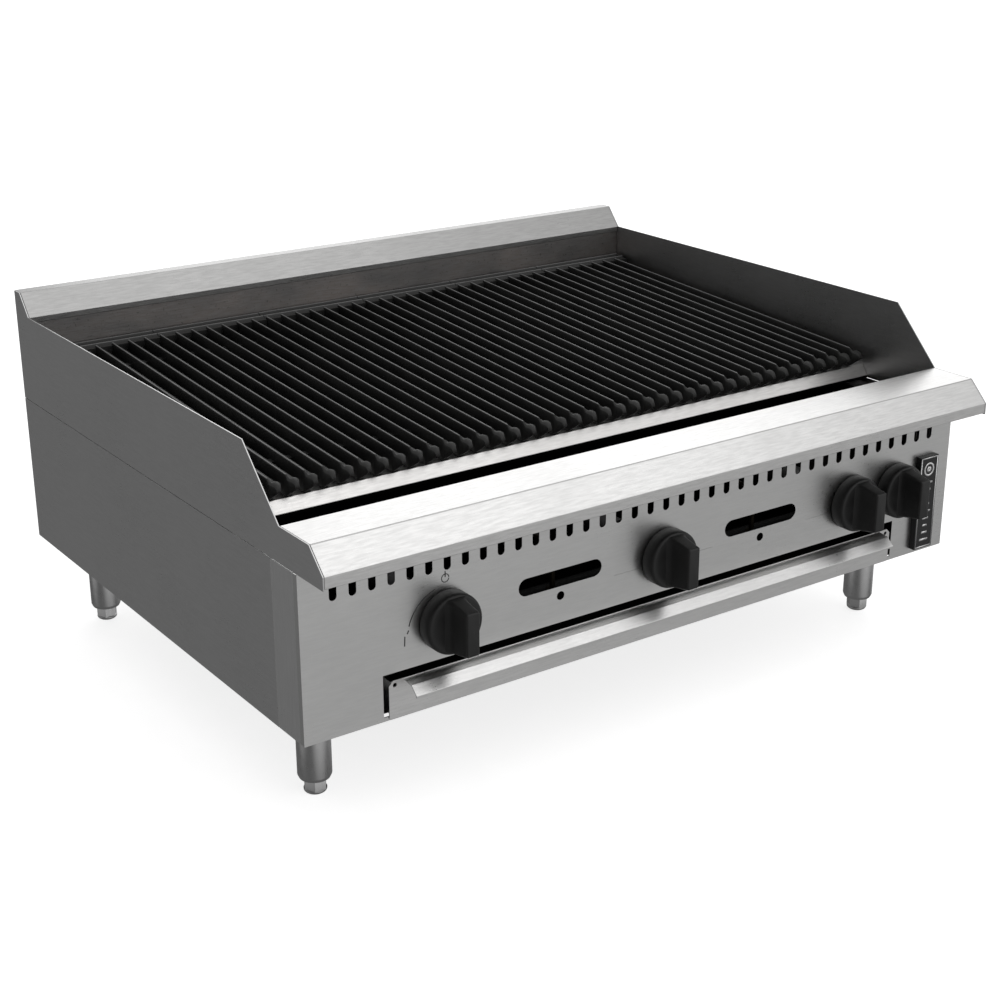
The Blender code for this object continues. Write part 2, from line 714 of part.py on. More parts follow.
def grate_mesh():
    """Seven bars, each a rib beside a lower trough, on cross ties and a rear plate."""
    end = RIDGE_LENGTH
    rib = [(0.0, 0.0), (end, 0.0), (end + 4.0, GRATE_DEEP), (-2.0, GRATE_DEEP), (-12.5, -16.5),
           (-18.0, -11.5), (-16.0, -6.0)]
    trough = [(-14.0, -7.0), (end + 2.0, -7.0), (end + 4.0, -19.0), (-6.0, -18.5), (-16.5, -12.0)]
    rear = [(end - 2.0, -2.0), (end + 7.0, -2.0), (end + 8.5, 0.0), (end + 10.5, 0.0),
            (end + 12.0, -2.0), (end + 20.0, -2.0), (end + 21.5, 0.0), (end + 24.5, 0.0),
            (end + 25.5, -2.0), (end + 25.5, -10.0), (end - 2.0, -10.0)]
    starts = [i * BAR_PITCH for i in range(BARS_PER_GRATE)]

    def ribs(bm):
        for x in starts:
            local_prism(bm, rib, x + 0.2, x + 0.2 + RIB_WIDTH)

    def troughs(bm):
        for x in starts:
            local_prism(bm, trough, x + TROUGH_SPAN[0], x + TROUGH_SPAN[1])

    def ties(bm):
        local_prism(bm, rear, 0.2, GRATE_PITCH - 0.2)
        for y in TIE_PLACES:
            low = GRATE_DEEP + 1.0
            tie = [(y, -12.0), (y + TIE_WIDTH, -12.0), (y + TIE_WIDTH, low), (y, low)]
            local_prism(bm, tie, 1.0, starts[-1] + TROUGH_SPAN[1] - 1.0)

    grate = solid("grate_form", None, ribs, CUTTERS)
    combine(grate, cutter("grate_troughs", troughs), "UNION")
    combine(grate, cutter("grate_ties", ties), "UNION")
    mesh = bake(grate).data
    bpy.data.objects.remove(grate, do_unlink=True)
    return mesh


def make_grates():
    mesh = grate_mesh()
    for i in range(GRATE_COUNT):
        grate = add("grate_%d" % (i + 1), mesh, PART, CAST_IRON)
        grate.location = point((i - GRATE_COUNT / 2) * GRATE_PITCH, RIDGE_FRONT_Y, RIDGE_FRONT_Z)
        grate.rotation_euler.x = GRATE_SLOPE


# ---------------------------------------------------------------- drip tray
def make_tray():
    floor, rim, wall, chamfer = TRAY_FLOOR_Z, TRAY_RIM_Z, TRAY_WALL, TRAY_CHAMFER
    low = TRAY_FACE_LOW
    face = [(2.0 - TRAY_HALF, low), (TRAY_HALF - 2.0, low), (TRAY_HALF, low + 2.0),
            (TRAY_HALF, rim - chamfer), (TRAY_HALF - chamfer, rim), (chamfer - TRAY_HALF, rim),
            (-TRAY_HALF, rim - chamfer), (-TRAY_HALF, low + 2.0)]
    tray = front_plate("drip_tray", STAINLESS, [face], PANEL_Y - GAP - SHEET / 2)
    side = TRAY_HALF - 3.0

    def pan(bm):
        box_into(bm, (-side, PANEL_Y - 0.8, floor), (side, TRAY_BACK_Y, rim - 1.0))

    def hollow(bm):
        box_into(bm, (wall - side, PANEL_Y + 2.0, floor + wall),
                 (side - wall, TRAY_BACK_Y - wall, rim + 10.0))

    def ear_holes(bm):
        for sign in (-1, 1):
            x = sign * (TRAY_HALF - 7.2)
            rod_into(bm, (x, PANEL_Y - 9.0, rim - chamfer), (x, PANEL_Y + 9.0, rim - chamfer), 2.3)

    nose_y, nose_z = LIP_NOSE
    lip_path = [(PANEL_Y - 1.0, rim - 0.5), LIP_FOLD, LIP_NOSE, (nose_y, nose_z - 2.2)]
    lip = bent_sheet("tray_lip", STAINLESS, lip_path, -LIP_HALF, LIP_HALF, thickness=LIP_SHEET)
    body = cutter("tray_pan", pan)
    combine(body, cutter("tray_hollow", hollow), "DIFFERENCE")
    bake(body)
    combine(tray, body, "UNION")
    combine(tray, as_cutter(lip), "UNION")
    combine(tray, cutter("tray_ear_holes", ear_holes), "DIFFERENCE")


make_sides()
make_front_panel()
make_shelf()
make_rear()
make_badge()
make_base()
make_legs()
make_firebox()
make_rails()
make_radiants()
make_burners()
make_gas_train()
make_pilots()
make_knobs()
make_grates()
make_tray()

for item in PART.objects:
    for polygon in item.data.polygons:
        polygon.use_smooth = True
    item.data.set_sharp_from_angle(angle=math.radians(30))
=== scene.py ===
"""Looks for the countertop charbroiler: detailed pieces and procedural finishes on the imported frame."""
import math

import bmesh
import bpy
from mathutils import Euler, Matrix, Vector


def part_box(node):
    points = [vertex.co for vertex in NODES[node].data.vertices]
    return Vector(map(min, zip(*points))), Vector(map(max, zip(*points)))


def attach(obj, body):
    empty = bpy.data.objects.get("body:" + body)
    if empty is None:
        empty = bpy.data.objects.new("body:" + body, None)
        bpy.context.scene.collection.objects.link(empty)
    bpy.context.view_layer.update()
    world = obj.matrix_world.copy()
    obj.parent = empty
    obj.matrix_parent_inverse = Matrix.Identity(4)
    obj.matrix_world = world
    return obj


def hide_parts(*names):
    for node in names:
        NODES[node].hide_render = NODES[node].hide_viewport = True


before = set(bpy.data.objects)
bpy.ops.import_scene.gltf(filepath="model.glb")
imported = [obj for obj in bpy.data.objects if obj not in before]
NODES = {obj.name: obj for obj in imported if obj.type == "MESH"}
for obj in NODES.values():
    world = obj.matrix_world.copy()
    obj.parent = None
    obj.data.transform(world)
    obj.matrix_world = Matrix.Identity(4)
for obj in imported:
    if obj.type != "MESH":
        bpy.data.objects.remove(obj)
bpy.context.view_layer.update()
MM = 0.001

# ---------------------------------------------------------------- dimensions (mm), as in the CAD
ORIGIN_Y = 387.5
KNOB_X = (-289.0, 0.0, 289.0, 364.0)
KNOB_Z = 198.0
KNOB_RADIUS = 33.0
DIAL_Z = 189.1
PANEL_Y = 50.8
GRATE_PITCH = 150.0
GRATE_COUNT = 6
BARS_PER_GRATE = 7
BAR_PITCH = GRATE_PITCH / BARS_PER_GRATE
SHELF_FOLD_Y = 24.8
STRIP_LOW_Z = 291.6
RIDGE_FRONT = (202.7, 330.1)
RIDGE_LENGTH = 474.3
GRATE_SLOPE = math.radians(3.35)
GRATE_DEEP = -24.6
CROSS_BAR_Y = (60.0, 420.0)
CROSS_BAR_WIDTH = 9.0
LEG_X = 403.0
LEG_FRONT_Y = 132.5
LEG_REAR_Y = 673.0
LEG_END_Z = 17.5
LEG_TOP_Z = 102.8
LEG_RADIUS = 18.5
FOOT_RADIUS = 12.5
ROD_RADIUS = 7.4
PIPE_RADIUS = 10.5
PIPE_BEND = 14.0
PIPE_X = 440.0
PIPE_START = (422.3, 84.0)
PIPE_Z = 176.0
PIPE_END_Y = 775.0
THREAD_TURNS = 9
THREAD_PITCH = 1.7
DIAL_RADIUS = 46.7
RAISED = 0.15


def point(x, y, z):
    """A place in metres from millimetres, with y measured back from the shelf's nose."""
    return Vector((x * MM, (y - ORIGIN_Y) * MM, z * MM))


def smooth_step(value, low, high):
    t = min(1.0, max(0.0, (value - low) / (high - low)))
    return t * t * (3.0 - 2.0 * t)


# ---------------------------------------------------------------- node material helpers
def new_material(name, metallic, roughness):
    material = bpy.data.materials.new(name)
    material.use_nodes = True
    tree = material.node_tree
    shader = tree.nodes["Principled BSDF"]
    shader.inputs["Metallic"].default_value = metallic
    shader.inputs["Roughness"].default_value = roughness
    return material, tree, shader


def place_coords(tree):
    return tree.nodes.new("ShaderNodeTexCoord").outputs["Object"]


def noise(tree, coords, scale, detail=3.0, roughness=0.55, distortion=0.0):
    """Noise with its own scale along each axis, in cycles per metre."""
    mapping = tree.nodes.new("ShaderNodeMapping")
    mapping.inputs["Scale"].default_value = scale
    texture = tree.nodes.new("ShaderNodeTexNoise")
    texture.inputs["Scale"].default_value = 1.0
    texture.inputs["Detail"].default_value = detail
    texture.inputs["Roughness"].default_value = roughness
    texture.inputs["Distortion"].default_value = distortion
    tree.links.new(coords, mapping.inputs["Vector"])
    tree.links.new(mapping.outputs["Vector"], texture.inputs["Vector"])
    return texture.outputs["Fac"]


def remap(tree, value, low, high, start, end):
    node = tree.nodes.new("ShaderNodeMapRange")
    node.inputs["From Min"].default_value = low
    node.inputs["From Max"].default_value = high
    node.inputs["To Min"].default_value = start
    node.inputs["To Max"].default_value = end
    tree.links.new(value, node.inputs["Value"])
    return node.outputs["Result"]


def combine(tree, operation, first, second):
    node = tree.nodes.new("ShaderNodeMath")
    node.operation = operation
    for socket, value in zip(node.inputs, (first, second)):
        if isinstance(value, (int, float)):
            socket.default_value = value
        else:
            tree.links.new(value, socket)
    return node.outputs["Value"]


def blend_colours(tree, share, first, second):
    node = tree.nodes.new("ShaderNodeMix")
    node.data_type = "RGBA"
    colours = [socket for socket in node.inputs if socket.type == "RGBA"]
    for socket, value in zip(colours, (first, second)):
        if isinstance(value, (tuple, list)):
            socket.default_value = (*value, 1.0)
        else:
            tree.links.new(value, socket)
    tree.links.new(share, node.inputs["Factor"])
    return [socket for socket in node.outputs if socket.type == "RGBA"][0]


def bump(tree, shader, height, strength, distance):
    node = tree.nodes.new("ShaderNodeBump")
    node.inputs["Strength"].default_value = strength
    node.inputs["Distance"].default_value = distance
    tree.links.new(height, node.inputs["Height"])
    tree.links.new(node.outputs["Normal"], shader.inputs["Normal"])


def scaled(colour, factor):
    return tuple(channel * factor for channel in colour)


GRAIN = {
    "x": ((50.0, 480.0, 480.0), (160.0, 1500.0, 1500.0)),
    "y": ((480.0, 50.0, 480.0), (1500.0, 160.0, 1500.0)),
    "z": ((480.0, 480.0, 50.0), (1500.0, 1500.0, 160.0)),
}
# Painted shade: the near-black colour laid on sheet inside the casing, where no light reaches, and the
# soft width of painted-shade edges.
INSIDE_SHADE = (0.0045, 0.0043, 0.0042)
SHADE_EDGE = 0.0001


def beyond(tree, coords, axis, limit, above=True):
    """One past a limit along an axis and nought short of it; distance from the middle along X."""
    split = tree.nodes.new("ShaderNodeSeparateXYZ")
    tree.links.new(coords, split.inputs["Vector"])
    value = split.outputs[axis]
    if axis == "X":
        value = combine(tree, "ABSOLUTE", value, 0.0)
    ends = (0.0, 1.0) if above else (1.0, 0.0)
    return remap(tree, value, limit - SHADE_EDGE, limit + SHADE_EDGE, *ends)


def brushed_steel(name, colour, roughness=0.30, grain="x", contrast=0.10, relief=0.12, shade_inside=(),
                  fold_shade=None):
    """Brushed sheet: fine streaks in colour, gloss and relief, with faint cloudy handling marks.

    Where all the given inside conditions (axis, limit, above) hold, the sheet is painted near black and
    glossier, a painted shade for the unlit inside.
    The fold band, given as (low, high) depths, is a thin band painted darker along the fold, a painted
    shade.
    """
    material, tree, shader = new_material(name, 1.0, roughness)
    coords = place_coords(tree)
    wide, fine = GRAIN[grain]
    streaks = noise(tree, coords, wide, detail=4.0)
    hairs = noise(tree, coords, fine, detail=3.0)
    clouds = noise(tree, coords, (7.0, 7.0, 7.0), detail=3.0)
    tone = blend_colours(tree, remap(tree, streaks, 0.35, 0.65, 0.0, 1.0),
                         scaled(colour, 1.0 - contrast), scaled(colour, 1.0 + contrast * 0.6))
    tone = blend_colours(tree, remap(tree, clouds, 0.45, 0.75, 0.0, 0.35), tone,
                         scaled(colour, 0.92))
    # Painted shade: a thin darker band along the fold.
    if fold_shade:
        line = combine(tree, "MULTIPLY", beyond(tree, coords, "Y", fold_shade[0]),
                       beyond(tree, coords, "Y", fold_shade[1], False))
        tone = blend_colours(tree, line, tone, scaled(colour, 0.62))
    gloss = combine(tree, "ADD", remap(tree, hairs, 0.3, 0.7, roughness - 0.04, roughness + 0.06),
                    remap(tree, clouds, 0.4, 0.7, 0.0, 0.05))
    # Painted shade: where the inside conditions hold, the sheet is painted near black for the unlit
    # inside.
    if shade_inside:
        share = beyond(tree, coords, *shade_inside[0])
        for condition in shade_inside[1:]:
            share = combine(tree, "MULTIPLY", share, beyond(tree, coords, *condition))
        shade_tone = blend_colours(tree, clouds, INSIDE_SHADE, scaled(INSIDE_SHADE, 0.5))
        tone = blend_colours(tree, share, tone, shade_tone)
        gloss = combine(tree, "ADD", gloss, combine(tree, "MULTIPLY", share, 0.25))
    tree.links.new(tone, shader.inputs["Base Color"])
    tree.links.new(gloss, shader.inputs["Roughness"])
    bump(tree, shader, combine(tree, "ADD", hairs, streaks), relief, 0.0004)
    return material


def heat_tint_and_shade_steel(name, colour, grain="x"):
    """Heat-tinted stainless: brown and blue-grey patches over a brushed sheet, on a base colour darkened
    as painted shade and painted reflection of the dark firebox.
    """
    material, tree, shader = new_material(name, 1.0, 0.42)
    coords = place_coords(tree)
    streaks = noise(tree, coords, GRAIN[grain][0], detail=5.0)
    patches = noise(tree, coords, (9.0, 9.0, 16.0), detail=4.0, distortion=0.6)
    specks = noise(tree, coords, (260.0, 260.0, 260.0), detail=2.0)
    tone = blend_colours(tree, remap(tree, patches, 0.35, 0.7, 0.0, 1.0), colour,
                         (colour[0] * 1.12, colour[1] * 1.0, colour[2] * 0.93))
    tone = blend_colours(tree, remap(tree, streaks, 0.35, 0.65, 0.0, 0.45), tone,
                         scaled(colour, 1.5))
    tone = blend_colours(tree, remap(tree, specks, 0.62, 0.75, 0.0, 0.7), tone,
                         scaled(colour, 0.45))
    tree.links.new(tone, shader.inputs["Base Color"])
    tree.links.new(remap(tree, patches, 0.3, 0.7, 0.34, 0.52), shader.inputs["Roughness"])
    bump(tree, shader, combine(tree, "ADD", streaks, specks), 0.15, 0.0004)
    return material


def cast_iron(name, ridge_highlight):
    """Seasoned cast iron: sandy skin, oily patches and, when asked, a painted highlight along the ridge
    tops standing in for the bright sky they reflect.
    """
    material, tree, shader = new_material(name, 0.0, 0.55)
    shader.inputs["Specular IOR Level"].default_value = 0.35
    coords = place_coords(tree)
    sand = noise(tree, coords, (900.0, 900.0, 900.0), detail=4.0, roughness=0.7)
    lumps = noise(tree, coords, (90.0, 90.0, 90.0), detail=3.0)
    patches = noise(tree, coords, (14.0, 14.0, 14.0), detail=4.0, distortion=0.4)
    tone = blend_colours(tree, remap(tree, patches, 0.35, 0.7, 0.0, 1.0), (0.010, 0.010, 0.010),
                         (0.018, 0.018, 0.017))
    tone = blend_colours(tree, remap(tree, sand, 0.55, 0.8, 0.0, 0.6), tone, (0.026, 0.026, 0.025))
    # Painted highlight: the top 0.7 mm of each ridge painted lighter, broken up by noise, for the sky it
    # reflects.
    if ridge_highlight:
        split = tree.nodes.new("ShaderNodeSeparateXYZ")
        tree.links.new(coords, split.inputs["Vector"])
        ridge = remap(tree, split.outputs["Z"], -0.0007, -0.0001, 0.0, 1.0)
        ridge_glint = combine(tree, "MULTIPLY", ridge, remap(tree, lumps, 0.2, 0.6, 0.65, 1.0))
        tone = blend_colours(tree, ridge_glint, tone, (0.15, 0.15, 0.15))
    tree.links.new(tone, shader.inputs["Base Color"])
    tree.links.new(remap(tree, patches, 0.3, 0.7, 0.46, 0.66), shader.inputs["Roughness"])
    bump(tree, shader, combine(tree, "ADD", combine(tree, "MULTIPLY", sand, 0.5), lumps), 0.35, 0.0006)
    return material


def moulded_plastic(name, colour):
    material, tree, shader = new_material(name, 0.0, 0.45)
    shader.inputs["Specular IOR Level"].default_value = 0.36
    coords = place_coords(tree)
    grit = noise(tree, coords, (2200.0, 2200.0, 2200.0), detail=2.0)
    haze = noise(tree, coords, (60.0, 60.0, 60.0), detail=3.0)
    tone = blend_colours(tree, remap(tree, haze, 0.35, 0.7, 0.0, 1.0), colour, scaled(colour, 1.5))
    tree.links.new(tone, shader.inputs["Base Color"])
    tree.links.new(remap(tree, haze, 0.3, 0.7, 0.38, 0.50), shader.inputs["Roughness"])
    bump(tree, shader, grit, 0.10, 0.0002)
    return material


def machined_metal(name, colour, roughness, fleck, size=300.0):
    """Turned or drawn metal with flecks of oxide."""
    material, tree, shader = new_material(name, 1.0, roughness)
    coords = place_coords(tree)
    rings = noise(tree, coords, (size * 2.0, size * 2.0, size * 0.4), detail=3.0)
    stain = noise(tree, coords, (45.0, 45.0, 45.0), detail=4.0, distortion=0.5)
    tone = blend_colours(tree, remap(tree, stain, 0.5, 0.75, 0.0, 0.8), colour, fleck)
    tree.links.new(tone, shader.inputs["Base Color"])
    tree.links.new(remap(tree, rings, 0.3, 0.7, roughness - 0.05, roughness + 0.10),
                   shader.inputs["Roughness"])
    bump(tree, shader, rings, 0.10, 0.0003)
    return material


def pale_floor():
    material, tree, shader = new_material("floor_paper", 0.0, 0.9)
    coords = place_coords(tree)
    fibres = noise(tree, coords, (30.0, 30.0, 30.0), detail=3.0)
    tone = blend_colours(tree, remap(tree, fibres, 0.3, 0.7, 0.0, 1.0), (0.46, 0.46, 0.46),
                         (0.50, 0.50, 0.50))
    tree.links.new(tone, shader.inputs["Base Color"])
    shader.inputs["Emission Color"].default_value = (1.0, 1.0, 1.0, 1.0)
    shader.inputs["Emission Strength"].default_value = 0.80
    return material


def depth(y):
    """A depth from the nose in millimetres as a coordinate in metres."""
    return (y - ORIGIN_Y) * MM


# Limits of the painted shade on the unlit inside: behind the panel, within the casing and tray, below the
# strip and above the base rail.
BEHIND_PANEL = ("Y", depth(PANEL_Y + 0.3))
CASING_INSIDE_X = 0.4560
TRAY_INSIDE_X = 0.3568
RAIL_TOP_Z = 0.1053
FRONT_STEEL = brushed_steel("steel_front", (0.60, 0.60, 0.595), grain="x", contrast=0.035,
                            shade_inside=(BEHIND_PANEL, ("X", CASING_INSIDE_X, False)))
REAR_STEEL = brushed_steel("steel_rear", (0.56, 0.56, 0.555), grain="x", contrast=0.05)
SHELF_STEEL = brushed_steel("steel_shelf", (0.64, 0.637, 0.632), grain="x", contrast=0.10,
                            fold_shade=(depth(SHELF_FOLD_Y - 0.9), depth(SHELF_FOLD_Y + 0.5)))
CAP_STEEL = brushed_steel("steel_cap", (0.36, 0.358, 0.355), grain="x", contrast=0.10)
STRIP_STEEL = brushed_steel("steel_strip", (0.64, 0.63, 0.62), grain="x", contrast=0.10,
                            shade_inside=(("Z", STRIP_LOW_Z * MM, False),))
SIDE_STEEL = brushed_steel("steel_side", (0.58, 0.58, 0.58), grain="y", contrast=0.04)
POST_STEEL = brushed_steel("steel_post", (0.68, 0.68, 0.68), grain="z", contrast=0.04)
TRAY_STEEL = brushed_steel("steel_tray", (0.66, 0.657, 0.652), grain="x", contrast=0.06,
                           shade_inside=(BEHIND_PANEL, ("X", TRAY_INSIDE_X, False)))
BASE_STEEL = brushed_steel("steel_base", (0.56, 0.56, 0.56), grain="y", contrast=0.05,
                           shade_inside=(("Z", RAIL_TOP_Z),))
# Inner back wall, firebox sides, radiants and rails: dark base colours with heat-tint patches, the
# darkness a painted shade and painted reflection of the dark grates and firebox.
BACK_STEEL = heat_tint_and_shade_steel("steel_heat_tint_painted_shade_back", (0.25, 0.245, 0.243))
HEAT_SHADE_STEEL = heat_tint_and_shade_steel("steel_heat_tint_painted_shade", (0.060, 0.058, 0.057))
HEAT_SHADE_SIDE = heat_tint_and_shade_steel("steel_heat_tint_painted_shade_side", (0.050, 0.048, 0.047), grain="y")
GRATE_IRON = cast_iron("iron_grate", True)
BURNER_IRON = cast_iron("iron_burner", False)
KNOB_PLASTIC = moulded_plastic("plastic_knob", (0.006, 0.006, 0.006))
BRASS = machined_metal("brass_fittings", (0.10, 0.075, 0.038), 0.45, (0.04, 0.03, 0.018))
# Pilot and manifold: near-black colours, a painted shade for the unlit inside of the casing.
PILOT_METAL = machined_metal("brass_pilot_painted_shade", (0.012, 0.010, 0.007), 0.60, (0.006, 0.005, 0.004))
MANIFOLD_STEEL = machined_metal("steel_manifold_painted_shade", (0.010, 0.010, 0.010), 0.65,
                                (0.006, 0.006, 0.005))
PIPE_STEEL = machined_metal("steel_pipe", (0.16, 0.16, 0.16), 0.45, (0.08, 0.075, 0.07))
LEG_STEEL = machined_metal("steel_leg", (0.50, 0.50, 0.50), 0.30, (0.42, 0.42, 0.42), 240.0)
BADGE_ENAMEL = moulded_plastic("enamel_badge", (0.006, 0.006, 0.0065))
BADGE_SILVER = machined_metal("silver_badge", (0.75, 0.75, 0.75), 0.30, (0.6, 0.6, 0.6))
MARK_INK = moulded_plastic("ink_marks", (0.030, 0.030, 0.030))
FLOOR = pale_floor()


# ---------------------------------------------------------------- CAD nodes: finish, softened edges
def edge_group():
    """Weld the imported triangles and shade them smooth, except across real edges."""
    group = bpy.data.node_groups.new("weld_and_shade", "GeometryNodeTree")
    group.interface.new_socket("Geometry", in_out="INPUT", socket_type="NodeSocketGeometry")
    group.interface.new_socket("Geometry", in_out="OUTPUT", socket_type="NodeSocketGeometry")
    nodes, links = group.nodes, group.links
    source = nodes.new("NodeGroupInput")
    target = nodes.new("NodeGroupOutput")
    merge = nodes.new("GeometryNodeMergeByDistance")
    merge.inputs["Distance"].default_value = 0.00001
    faces = nodes.new("GeometryNodeSetShadeSmooth")
    edges = nodes.new("GeometryNodeSetShadeSmooth")
    edges.domain = "EDGE"
    edges.inputs["Shade Smooth"].default_value = False
    angle = nodes.new("GeometryNodeInputMeshEdgeAngle")
    sharp = nodes.new("FunctionNodeCompare")
    sharp.inputs["B"].default_value = math.radians(30.0)
    links.new(source.outputs[0], merge.inputs["Geometry"])
    links.new(merge.outputs["Geometry"], faces.inputs["Geometry"])
    links.new(faces.outputs["Geometry"], edges.inputs["Geometry"])
    links.new(angle.outputs["Unsigned Angle"], sharp.inputs["A"])
    links.new(sharp.outputs["Result"], edges.inputs["Selection"])
    links.new(edges.outputs["Geometry"], target.inputs[0])
    return group


EDGES = edge_group()


def dress(node, material, bevel=0.0, segments=2):
    """Give a CAD node its finish and, where it shows, softened edges."""
    obj = NODES[node]
    for slot in obj.material_slots:
        slot.material = material
    shade = obj.modifiers.new("weld_and_shade", "NODES")
    shade.node_group = EDGES
    if bevel:
        soften = obj.modifiers.new("soft_edges", "BEVEL")
        soften.width = bevel * MM
        soften.segments = segments
        soften.limit_method = "ANGLE"
        soften.angle_limit = math.radians(35.0)
        soften.harden_normals = True


SHEET_BEVEL = 0.45
for side in ("left", "right"):
    dress("side_panel_" + side, SIDE_STEEL, SHEET_BEVEL)
    dress("lower_side_" + side, SIDE_STEEL, SHEET_BEVEL)
    dress("corner_post_" + side, POST_STEEL, SHEET_BEVEL)
    dress("base_rail_" + side, BASE_STEEL, SHEET_BEVEL)
    dress("firebox_side_" + side, HEAT_SHADE_SIDE, SHEET_BEVEL)
    dress("pilot_" + side, PILOT_METAL)
dress("front_panel", FRONT_STEEL, 0.3)
dress("front_shelf", SHELF_STEEL, 0.6, 3)
dress("back_panel", REAR_STEEL, SHEET_BEVEL)
dress("backsplash_cap", CAP_STEEL, 0.6, 3)
dress("inner_back_wall", BACK_STEEL, 0.6, 3)
dress("firebox_front", STRIP_STEEL, SHEET_BEVEL)
dress("drip_tray", TRAY_STEEL, SHEET_BEVEL)
dress("badge_plate", BADGE_ENAMEL, 0.5)
dress("gas_manifold", MANIFOLD_STEEL)
for name in ("radiant_rail_front", "radiant_rail_rear", "burner_rail"):
    dress(name, HEAT_SHADE_STEEL, SHEET_BEVEL)
for i in range(1, 4):
    dress("radiant_%d" % i, HEAT_SHADE_SIDE, 0.6)
    dress("burner_%d" % i, BURNER_IRON)
    dress("air_shutter_%d" % i, PIPE_STEEL)
for i in range(1, 5):
    dress("gas_valve_%d" % i, BRASS)
    dress("valve_stem_%d" % i, BRASS)


# ---------------------------------------------------------------- new pieces
def mesh_from(name, bm):
    bmesh.ops.recalc_face_normals(bm, faces=bm.faces[:])
    for face in bm.faces:
        face.smooth = True
    mesh = bpy.data.meshes.new(name)
    bm.to_mesh(mesh)
    bm.free()
    return mesh


def add_piece(name, mesh, material, body, matrix=Matrix.Identity(4)):
    obj = bpy.data.objects.new(name, mesh)
    bpy.context.scene.collection.objects.link(obj)
    if not mesh.materials:
        mesh.materials.append(material)
    obj.matrix_world = matrix
    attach(obj, body)
    return obj


def loft(bm, rings):
    """A closed skin through rings of places, with flat end faces."""
    rows = [[bm.verts.new(place) for place in ring] for ring in rings]
    count = len(rows[0])
    for a, b in zip(rows, rows[1:]):
        for i in range(count):
            j = (i + 1) % count
            bm.faces.new((a[i], a[j], b[j], b[i]))
    bm.faces.new(list(reversed(rows[0])))
    bm.faces.new(rows[-1])


def turned(bm, profile, steps):
    """A round solid about the local Z axis from (radius, height) pairs, closed by flat ends."""
    rings = []
    for radius, height in profile:
        rings.append([
            Vector((radius * math.cos(math.tau * k / steps), radius * math.sin(math.tau * k / steps),
                    height)) * MM
            for k in range(steps)])
    loft(bm, rings)


def block(bm, low, high):
    """A box between two corners in millimetres."""
    size = Vector([high[i] - low[i] for i in range(3)]) * MM
    middle = Vector([(low[i] + high[i]) / 2 for i in range(3)]) * MM
    matrix = Matrix.Translation(middle) @ Matrix.Diagonal((*size, 1.0))
    bmesh.ops.create_cube(bm, size=1.0, matrix=matrix)


# ---------------------------------------------------------------- grates
BAR_PROFILE = [
    (0.75, -0.35), (1.05, 0.0), (2.35, 0.0), (2.75, -0.35), (3.1, -2.0), (3.5, -5.0),
    (4.3, -6.6), (5.8, -7.4), (8.2, -7.6), (10.2, -7.0), (11.6, -6.9), (12.6, -7.5), (13.0, -8.8),
    (13.0, -16.5), (12.2, -18.6), (10.5, -19.0), (4.4, -19.0), (3.6, -19.8), (3.5, -24.2),
    (3.1, GRATE_DEEP), (0.6, GRATE_DEEP), (0.2, -24.2), (0.2, -5.0), (0.45, -2.0)]
TIP_LENGTH = 18.0
TIP_DROP = 10.4
TIP_LIFT = 12.8
TIP_STATIONS = (-18.0, -17.7, -17.0, -16.0, -14.6, -12.9, -10.9, -8.8, -6.7, -4.7, -2.9, -1.3,
                0.0)


def bar_ring(y):
    """The bar's section at a distance behind the ridge's front end; the front thins to a leaf."""
    forward = min(1.0, max(0.0, -y) / TIP_LENGTH)
    drop = TIP_DROP * (1.0 - math.sqrt(1.0 - forward ** 2.2))
    lift = TIP_LIFT * max(0.0, (forward - 0.127) / 0.873) ** 1.2
    scale = max(0.04, (-GRATE_DEEP - drop - lift) / -GRATE_DEEP)
    dome = smooth_step(forward, 0.02, 0.45)
    middle = 6.4
    ring = []
    for x, z in BAR_PROFILE:
        crown = -2.2 - 3.2 * ((x - middle) / middle) ** 2
        if z > -10.0:
            z = z + (crown - z) * dome
        pinch = 1.0 - 0.60 * smooth_step(forward, 0.45, 1.0)
        ring.append(Vector((middle + (x - middle) * pinch, y,
                            GRATE_DEEP + lift + (z - GRATE_DEEP) * scale)) * MM)
    return ring


def grate_mesh():
    """Seven bars on two cross bars, with a rear plate that carries two raised lines."""
    bm = bmesh.new()
    stations = list(TIP_STATIONS)
    stations += [RIDGE_LENGTH * k / 4 for k in range(1, 5)] + [RIDGE_LENGTH + 3.0]
    for k in range(BARS_PER_GRATE):
        shift = Vector((k * BAR_PITCH * MM, 0.0, 0.0))
        loft(bm, [[place + shift for place in bar_ring(y)] for y in stations])
    end = RIDGE_LENGTH
    rear = [(end - 1.0, -2.6), (end + 6.6, -2.4), (end + 7.6, -1.6), (end + 8.6, -0.2),
            (end + 9.6, 0.0), (end + 10.6, -0.2), (end + 11.6, -1.6), (end + 12.6, -2.4),
            (end + 19.6, -2.4), (end + 20.8, -1.6), (end + 22.0, -0.2), (end + 23.0, 0.0),
            (end + 24.2, -0.2), (end + 25.2, -1.6), (end + 25.5, -3.0), (end + 25.5, -9.6),
            (end + 25.0, -10.0), (end - 1.0, -10.0)]
    loft(bm, [[Vector((x, y, z)) * MM for y, z in rear] for x in (0.4, GRATE_PITCH - 0.4)])
    for y in CROSS_BAR_Y:
        block(bm, (1.0, y, GRATE_DEEP + 1.2),
              ((BARS_PER_GRATE - 1) * BAR_PITCH + 12.0, y + CROSS_BAR_WIDTH, -12.0))
    return mesh_from("grate_look", bm)


